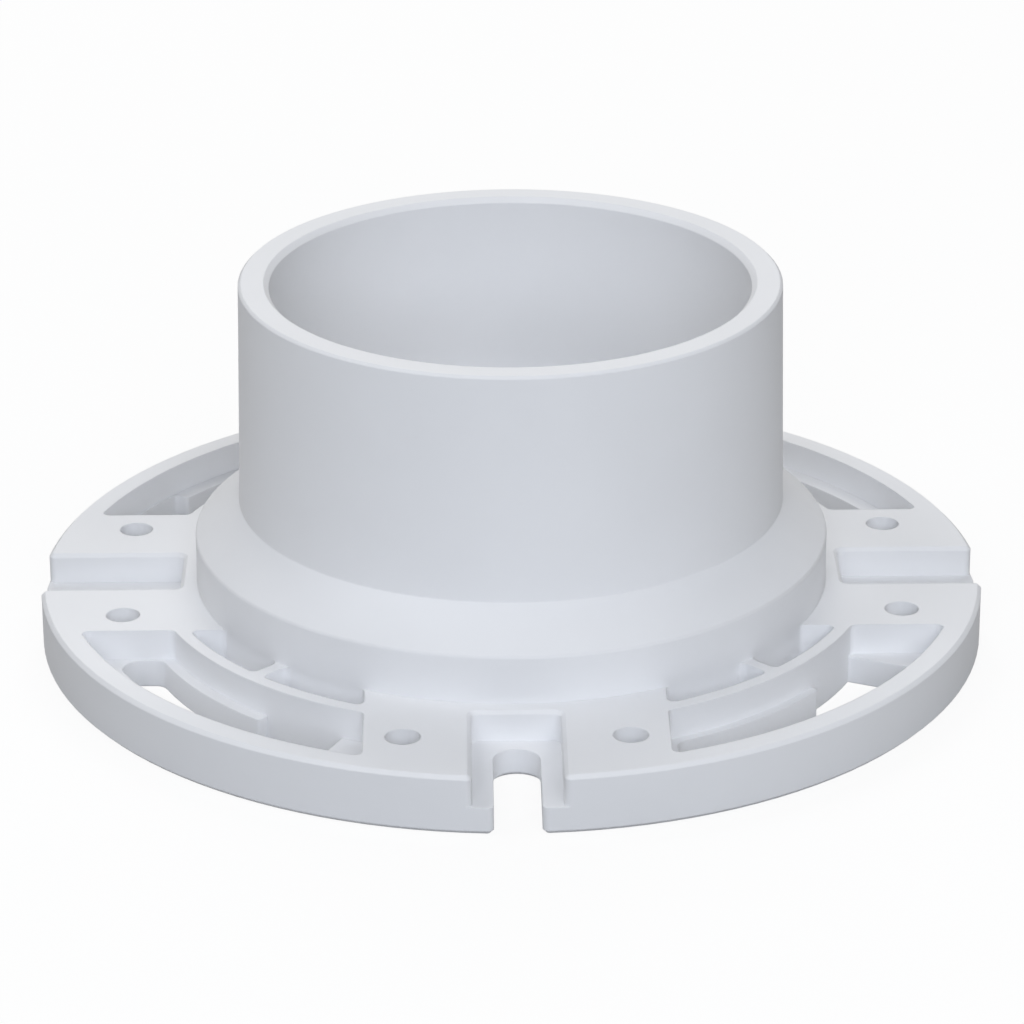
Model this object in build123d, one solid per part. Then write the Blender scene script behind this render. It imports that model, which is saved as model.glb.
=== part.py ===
from build123d import *
from math import radians, tan
import os

# A closet flange, moulded in one piece of rigid white plastic. It lies on its finished
# face, so the hub points up along +Z and the ribbed underside of the plate is open to
# view. The origin is the middle of the finished face. All sizes are in millimetres.

# Hub: slides into a 4 in drain pipe, and takes a 3 in pipe in its socket
overall_height = 69.85
socket_diameter = 89.3
hub_tip_wall = 5.7
hub_root_wall = 6.55
hub_lip_chamfer = 0.5
socket_depth = 38.1
socket_lead_chamfer = 1.0

# Waterway from the pipe stop down to the bowl that opens in the finished face
waterway_diameter = 77.9
waterway_length = 6.0
bowl_diameter = 103.0
bowl_rim_depth = 9.0
bowl_rim_taper = 1.5
bowl_edge_chamfer = 0.8
bowl_blend_rounding = 5.0

# Collar that carries the hub on the plate, with a conical shoulder above it
collar_diameter = 119.2
collar_height = 20.2
shoulder_height = 6.9
shoulder_rounding = 0.8

# Plate: a thin floor with a deep rim, four bosses and arc ribs on its underside
flange_diameter = 177.8
plate_height = 11.1
floor_thickness = 5.2
rim_wall = 4.6
rim_chamfer = 0.7
plan_corner_radius = 1.3

# Four bosses on the axes, joined to the collar and the rim
boss_width = 54.0

# Arc rib round the collar, with a short web in the middle of each quarter
groove_width = 6.0
rib_thickness = 2.5
web_thickness = 2.3

# Open notch for a bolt in each boss, at the bottom of a wider recess for its head
recess_width = 16.0
recess_end_wall = 2.9
notch_width = 8.4
notch_shelf = 3.3
notch_corner_radius = 1.2

# Keyhole slot in each pocket: a narrow arc for the bolt and a wide end for its head
slot_wide_ledge = 0.5
slot_end_inner_radius = 2.4
slot_end_outer_radius = 3.5
slot_corner_radius = 0.8
slot_overrun = 1.0

# The slots differ from quarter to quarter, so these are given for all four in turn, from
# the quarter between +X and +Y: the floor left along the rib, the width of the narrow arc,
# the gap from the boss to the slot, and the angles from the middle of the quarter
slot_inner_ledges = (2.2, 1.6, 2.2, 1.6)
slot_widths = (10.7, 11.3, 8.3, 11.3)
slot_setbacks = (0.5, 1.7, 0.5, 1.7)
slot_step_angles = (4.1, 7.6, 4.1, 7.6)
slot_stop_angles = (18.0, 20.5, 18.0, 20.5)

# Screw holes, two in each boss, countersunk in the finished face
screw_hole_diameter = 6.3
screw_pair_spacing = 40.0
screw_row_offset = 72.4
screw_head_diameter = 11.0
screw_head_angle = 82.0

# Sizes that follow from the ones above
hub_tip_diameter = socket_diameter + 2 * hub_tip_wall
hub_root_diameter = socket_diameter + 2 * hub_root_wall
flange_radius = flange_diameter / 2
collar_radius = collar_diameter / 2
rib_inner_radius = collar_radius + groove_width
rib_outer_radius = rib_inner_radius + rib_thickness
rim_inner_radius = flange_radius - rim_wall
recess_start = collar_radius + recess_end_wall
notch_start = recess_start + notch_shelf


def ring(inner_radius, outer_radius):
    """A flat ring about the origin."""
    return Circle(outer_radius) - Circle(inner_radius)


def sector(inner_radius, outer_radius, start_angle, end_angle):
    """A piece of a flat ring between two angles."""
    sweep = end_angle - start_angle
    inner_arc = CenterArc((0, 0), inner_radius, start_angle, sweep)
    outer_arc = CenterArc((0, 0), outer_radius, start_angle, sweep)
    start_side = Line(inner_arc @ 0, outer_arc @ 0)
    end_side = Line(inner_arc @ 1, outer_arc @ 1)
    return make_face([inner_arc, outer_arc, start_side, end_side])


def bar(width, start, end):
    """A flat bar of the given width that runs along +X from start to end."""
    return Pos((start + end) / 2, 0) * Rectangle(end - start, width)


def in_each_quarter(plan):
    """The flat shape repeated in all four quarters."""
    return Sketch() + [Rot(0, 0, 90 * quarter) * plan for quarter in range(4)]


def nearest(plan, point):
    """The corner of a flat shape that lies nearest to a point."""
    return plan.vertices().sort_by_distance(point)[0]


def boss_cross(width):
    """Two crossed bars along X and Y that reach past the rim."""
    return Rectangle(2 * flange_diameter, width) + Rectangle(width, 2 * flange_diameter)


def keyhole_slot(inner_ledge, width, setback, step_angle, stop_angle):
    """Plan of the slot in the quarter between +X and +Y, with its corners rounded.

    The wide end runs a little under the rib, which closes it again.
    """
    inner = rib_outer_radius + inner_ledge
    outer = inner + width
    wide_inner = rib_outer_radius - slot_overrun
    wide_outer = rim_inner_radius - slot_wide_ledge
    start_y = boss_width / 2 + setback
    step = 45 + step_angle
    stop = 45 + stop_angle
    slot = sector(inner, outer, 0, step) - Rectangle(2 * flange_diameter, 2 * start_y)
    for end_radius, rounding in ((inner, slot_end_inner_radius), (outer, slot_end_outer_radius)):
        corner = nearest(slot, ((end_radius**2 - start_y**2) ** 0.5, start_y))
        slot = fillet(corner, rounding)
    slot += sector(wide_inner, wide_outer, step, stop)
    corners = [(inner, step), (outer, step), (wide_inner, step), (wide_outer, step)]
    corners += [(wide_inner, stop), (wide_outer, stop)]
    for radius, angle in corners:
        slot = fillet(nearest(slot, Vector(radius, 0).rotate(Axis.Z, angle)), slot_corner_radius)
    return slot


def keyhole_slots():
    """The four slots, each turned to its own quarter of the plate."""
    angles = zip(slot_step_angles, slot_stop_angles)
    sizes = zip(slot_inner_ledges, slot_widths, slot_setbacks, angles)
    slots = [keyhole_slot(ledge, width, setback, *ends) for ledge, width, setback, ends in sizes]
    return Sketch() + [Rot(0, 0, 90 * quarter) * slot for quarter, slot in enumerate(slots)]


def rounded_at_rim(plan):
    """The outline with the corners rounded where its cuts run out of the rim."""
    corners = [v for v in plan.vertices() if abs(Vector(v.X, v.Y).length - flange_radius) < 0.01]
    return fillet(corners, notch_corner_radius)


def floor_plan():
    """Outline of the plate's floor, with the open notches and the keyhole slots."""
    round_end = notch_start + notch_width / 2
    notch = bar(notch_width, round_end, flange_diameter) + Pos(round_end, 0) * Circle(notch_width / 2)
    plan = rounded_at_rim(Circle(flange_radius) - in_each_quarter(notch))
    return plan - keyhole_slots()


def wall_plan():
    """Outline of the rim, bosses, ribs and webs that stand up from the floor."""
    bosses = boss_cross(boss_width)
    pockets = ring(rib_outer_radius, rim_inner_radius) - bosses
    pockets = fillet(pockets.vertices(), plan_corner_radius)
    web = Rot(0, 0, 45) * bar(web_thickness, 0, flange_radius)
    grooves = ring(collar_radius, rib_inner_radius) - bosses - in_each_quarter(web)
    grooves = fillet(grooves.vertices(), plan_corner_radius)
    recess = bar(recess_width, recess_start, flange_diameter)
    recess = fillet(recess.vertices().sort_by(Axis.X)[:2], plan_corner_radius)
    plan = rounded_at_rim(Circle(flange_radius) - in_each_quarter(recess))
    return plan - pockets - grooves


def plate():
    """The ribbed plate with its outline chamfered, still whole in the middle."""
    body = extrude(floor_plan(), floor_thickness) + extrude(wall_plan(), plate_height)
    for side in (0, -1):
        face = body.faces().sort_by(Axis.Z)[side]
        body = chamfer(face.outer_wire().edges(), rim_chamfer)
    return body


def hub_section():
    """Half section of the hub, shoulder and collar, as points of radius and height."""
    stop_height = overall_height - socket_depth
    bowl_end_radius = bowl_diameter / 2 - bowl_rim_taper
    bowl_edge = (bowl_diameter / 2, 0)
    shoulder = (collar_radius, collar_height)
    hub_lip = (hub_tip_diameter / 2, overall_height)
    socket_lead = (socket_diameter / 2, overall_height)
    waterway_end = (waterway_diameter / 2, stop_height - waterway_length)
    bowl_end = (bowl_end_radius, bowl_rim_depth)
    hub_root = (hub_root_diameter / 2, collar_height + shoulder_height)
    outside = [(collar_radius, 0), shoulder, hub_root, hub_lip]
    inside = [socket_lead, (socket_diameter / 2, stop_height), (waterway_diameter / 2, stop_height)]
    section = make_face(Polyline(bowl_edge, *outside, *inside, waterway_end, bowl_end, close=True))
    section = fillet(nearest(section, shoulder), shoulder_rounding)
    section = fillet(nearest(section, bowl_end), bowl_blend_rounding)
    for corner, length in (
        (bowl_edge, bowl_edge_chamfer),
        (hub_lip, hub_lip_chamfer),
        (socket_lead, socket_lead_chamfer),
    ):
        section = chamfer(nearest(section, corner), length)
    return section


def screw_hole():
    """Space of one screw hole, with its countersink in the finished face."""
    sink_slope = tan(radians(screw_head_angle / 2))
    sink_depth = (screw_head_diameter - screw_hole_diameter) / 2 / sink_slope
    from_face = (Align.CENTER, Align.CENTER, Align.MIN)
    hole = Cylinder(screw_hole_diameter / 2, plate_height, align=from_face)
    return hole + Cone(screw_head_diameter / 2, screw_hole_diameter / 2, sink_depth, align=from_face)


def closet_flange():
    """The whole moulding: the plate fused to the turned hub, with its screw holes."""
    middle = Cylinder((bowl_diameter + collar_diameter) / 4, 3 * plate_height)
    body = plate() - middle + revolve(Plane.XZ * hub_section(), Axis.Z)
    for quarter in range(4):
        for side in (-1, 1):
            place = Rot(0, 0, 90 * quarter) * Pos(screw_row_offset, side * screw_pair_spacing / 2)
            body -= place * screw_hole()
    return body


os.makedirs("parts", exist_ok=True)
export_step(closet_flange(), "parts/closet_flange.step")
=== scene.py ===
from math import radians

import bpy
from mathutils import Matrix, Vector


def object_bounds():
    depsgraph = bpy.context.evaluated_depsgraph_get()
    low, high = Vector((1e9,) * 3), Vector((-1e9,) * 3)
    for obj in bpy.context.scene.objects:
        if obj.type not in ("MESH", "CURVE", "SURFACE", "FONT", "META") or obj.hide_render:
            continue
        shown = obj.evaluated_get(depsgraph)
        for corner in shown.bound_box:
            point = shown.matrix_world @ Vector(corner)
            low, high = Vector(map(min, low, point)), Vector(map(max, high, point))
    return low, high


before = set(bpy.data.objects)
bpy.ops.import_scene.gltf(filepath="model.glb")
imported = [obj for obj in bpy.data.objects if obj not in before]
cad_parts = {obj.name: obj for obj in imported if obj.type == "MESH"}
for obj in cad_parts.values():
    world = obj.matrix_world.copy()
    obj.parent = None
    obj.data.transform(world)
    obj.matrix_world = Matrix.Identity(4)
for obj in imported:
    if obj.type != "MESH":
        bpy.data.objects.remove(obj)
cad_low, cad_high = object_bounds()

# The closet flange: one moulding of rigid white PVC, with the hub, the collar and the
# ribbed plate in one. The mould leaves a smooth satin skin with a little flow mottling.
pvc = bpy.data.materials.new("white_pvc")
pvc.use_nodes = True
pvc_nodes = pvc.node_tree.nodes
pvc_links = pvc.node_tree.links
pvc_shader = pvc_nodes["Principled BSDF"]
pvc_shader.inputs["IOR"].default_value = 1.53

pvc_place = pvc_nodes.new("ShaderNodeTexCoord")

mottling = pvc_nodes.new("ShaderNodeTexNoise")
mottling.inputs["Scale"].default_value = 35.0
mottling.inputs["Detail"].default_value = 4.0
pvc_links.new(pvc_place.outputs["Object"], mottling.inputs["Vector"])

pvc_tint = pvc_nodes.new("ShaderNodeValToRGB")
pvc_tint.color_ramp.elements[0].position = 0.35
pvc_tint.color_ramp.elements[0].color = (0.86, 0.865, 0.88, 1.0)
pvc_tint.color_ramp.elements[1].position = 0.65
pvc_tint.color_ramp.elements[1].color = (0.88, 0.885, 0.90, 1.0)
pvc_links.new(mottling.outputs["Fac"], pvc_tint.inputs["Fac"])
pvc_links.new(pvc_tint.outputs["Color"], pvc_shader.inputs["Base Color"])

pvc_gloss = pvc_nodes.new("ShaderNodeMapRange")
pvc_gloss.inputs["To Min"].default_value = 0.62
pvc_gloss.inputs["To Max"].default_value = 0.74
pvc_links.new(mottling.outputs["Fac"], pvc_gloss.inputs["Value"])
pvc_links.new(pvc_gloss.outputs["Result"], pvc_shader.inputs["Roughness"])

mould_grain = pvc_nodes.new("ShaderNodeTexNoise")
mould_grain.inputs["Scale"].default_value = 1400.0
mould_grain.inputs["Detail"].default_value = 3.0
pvc_links.new(pvc_place.outputs["Object"], mould_grain.inputs["Vector"])

edge_round = pvc_nodes.new("ShaderNodeBevel")
edge_round.samples = 8
edge_round.inputs["Radius"].default_value = 0.0004

grain_bump = pvc_nodes.new("ShaderNodeBump")
grain_bump.inputs["Strength"].default_value = 0.15
grain_bump.inputs["Distance"].default_value = 0.00005
pvc_links.new(mould_grain.outputs["Fac"], grain_bump.inputs["Height"])
pvc_links.new(edge_round.outputs["Normal"], grain_bump.inputs["Normal"])
pvc_links.new(grain_bump.outputs["Normal"], pvc_shader.inputs["Normal"])

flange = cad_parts["closet_flange"]
for flange_slot in flange.material_slots:
    flange_slot.material = pvc

# The floor is a wide matt sheet under the part. The camera sees it almost pure white, with
# the soft shadow under the rim, and it throws only a little light back up.
floor_reach = 3.0
bpy.ops.mesh.primitive_plane_add(size=2 * floor_reach, location=(0, 0, cad_low.z))
floor = bpy.context.object
floor.name = "floor"

floor_paint = bpy.data.materials.new("floor_white")
floor_paint.use_nodes = True
floor_nodes = floor_paint.node_tree.nodes
floor_links = floor_paint.node_tree.links
floor_nodes.remove(floor_nodes["Principled BSDF"])
floor_bounce = floor_nodes.new("ShaderNodeBsdfDiffuse")
floor_bounce.inputs["Color"].default_value = (0.4, 0.4, 0.4, 1.0)
floor_glow = floor_nodes.new("ShaderNodeEmission")
floor_glow.inputs["Strength"].default_value = 0.9
floor_lit = floor_nodes.new("ShaderNodeBsdfDiffuse")
floor_lit.inputs["Color"].default_value = (0.1, 0.1, 0.1, 1.0)
floor_white = floor_nodes.new("ShaderNodeAddShader")
floor_links.new(floor_glow.outputs["Emission"], floor_white.inputs[0])
floor_links.new(floor_lit.outputs["BSDF"], floor_white.inputs[1])
floor_ray = floor_nodes.new("ShaderNodeLightPath")
floor_seen = floor_nodes.new("ShaderNodeMath")
floor_seen.operation = "MAXIMUM"
floor_links.new(floor_ray.outputs["Is Camera Ray"], floor_seen.inputs[0])
floor_links.new(floor_ray.outputs["Is Glossy Ray"], floor_seen.inputs[1])
floor_mix = floor_nodes.new("ShaderNodeMixShader")
floor_links.new(floor_seen.outputs["Value"], floor_mix.inputs["Fac"])
floor_links.new(floor_bounce.outputs["BSDF"], floor_mix.inputs[1])
floor_links.new(floor_white.outputs["Shader"], floor_mix.inputs[2])
floor_links.new(floor_mix.outputs["Shader"], floor_nodes["Material Output"].inputs["Surface"])
floor.data.materials.append(floor_paint)

# The light is a dim white room with four wide soft lamps: a cool one low in front, which
# is the strongest, one on each side and one behind.
room = bpy.data.worlds.new("room")
room.use_nodes = True
room_light = room.node_tree.nodes["Background"]
room_light.inputs["Color"].default_value = (1.0, 1.0, 1.0, 1.0)
room_light.inputs["Strength"].default_value = 0.09
bpy.context.scene.world = room

lamp_aim = Vector((0.0, 0.0, 0.03))
for lamp_name, lamp_place, lamp_watts, lamp_colour in (
    ("front_lamp", (0.0, -1.3, 0.78), 12.4, (0.865, 0.915, 1.0)),
    ("left_lamp", (-0.96, 0.0, 1.18), 5.6, (1.0, 1.0, 1.0)),
    ("right_lamp", (0.84, -0.58, 1.13), 4.3, (1.0, 1.0, 1.0)),
    ("back_lamp", (0.0, 1.06, 1.09), 9.2, (1.0, 1.0, 1.0)),
):
    lamp_data = bpy.data.lights.new(lamp_name, "AREA")
    lamp_data.size = 1.0
    lamp_data.energy = lamp_watts
    lamp_data.color = lamp_colour
    lamp = bpy.data.objects.new(lamp_name, lamp_data)
    lamp.location = lamp_place
    lamp.rotation_euler = (lamp_aim - lamp.location).to_track_quat("-Z", "Y").to_euler()
    bpy.context.collection.objects.link(lamp)

# The camera stands in front of the part and looks down on it, as in the photograph.
camera_data = bpy.data.cameras.new("camera")
camera_data.sensor_width = 36.0
camera_data.lens = 156.7
camera_data.clip_start = 0.05
camera = bpy.data.objects.new("camera", camera_data)
camera.location = (-0.00955, -0.77433, 0.35445)
camera.rotation_euler = (radians(90 - 23.19), 0, radians(-0.72))
camera.rotation_euler.rotate_axis("Z", radians(-0.179))
bpy.context.collection.objects.link(camera)
bpy.context.scene.camera = camera
bpy.context.scene.view_settings.view_transform = "Standard"
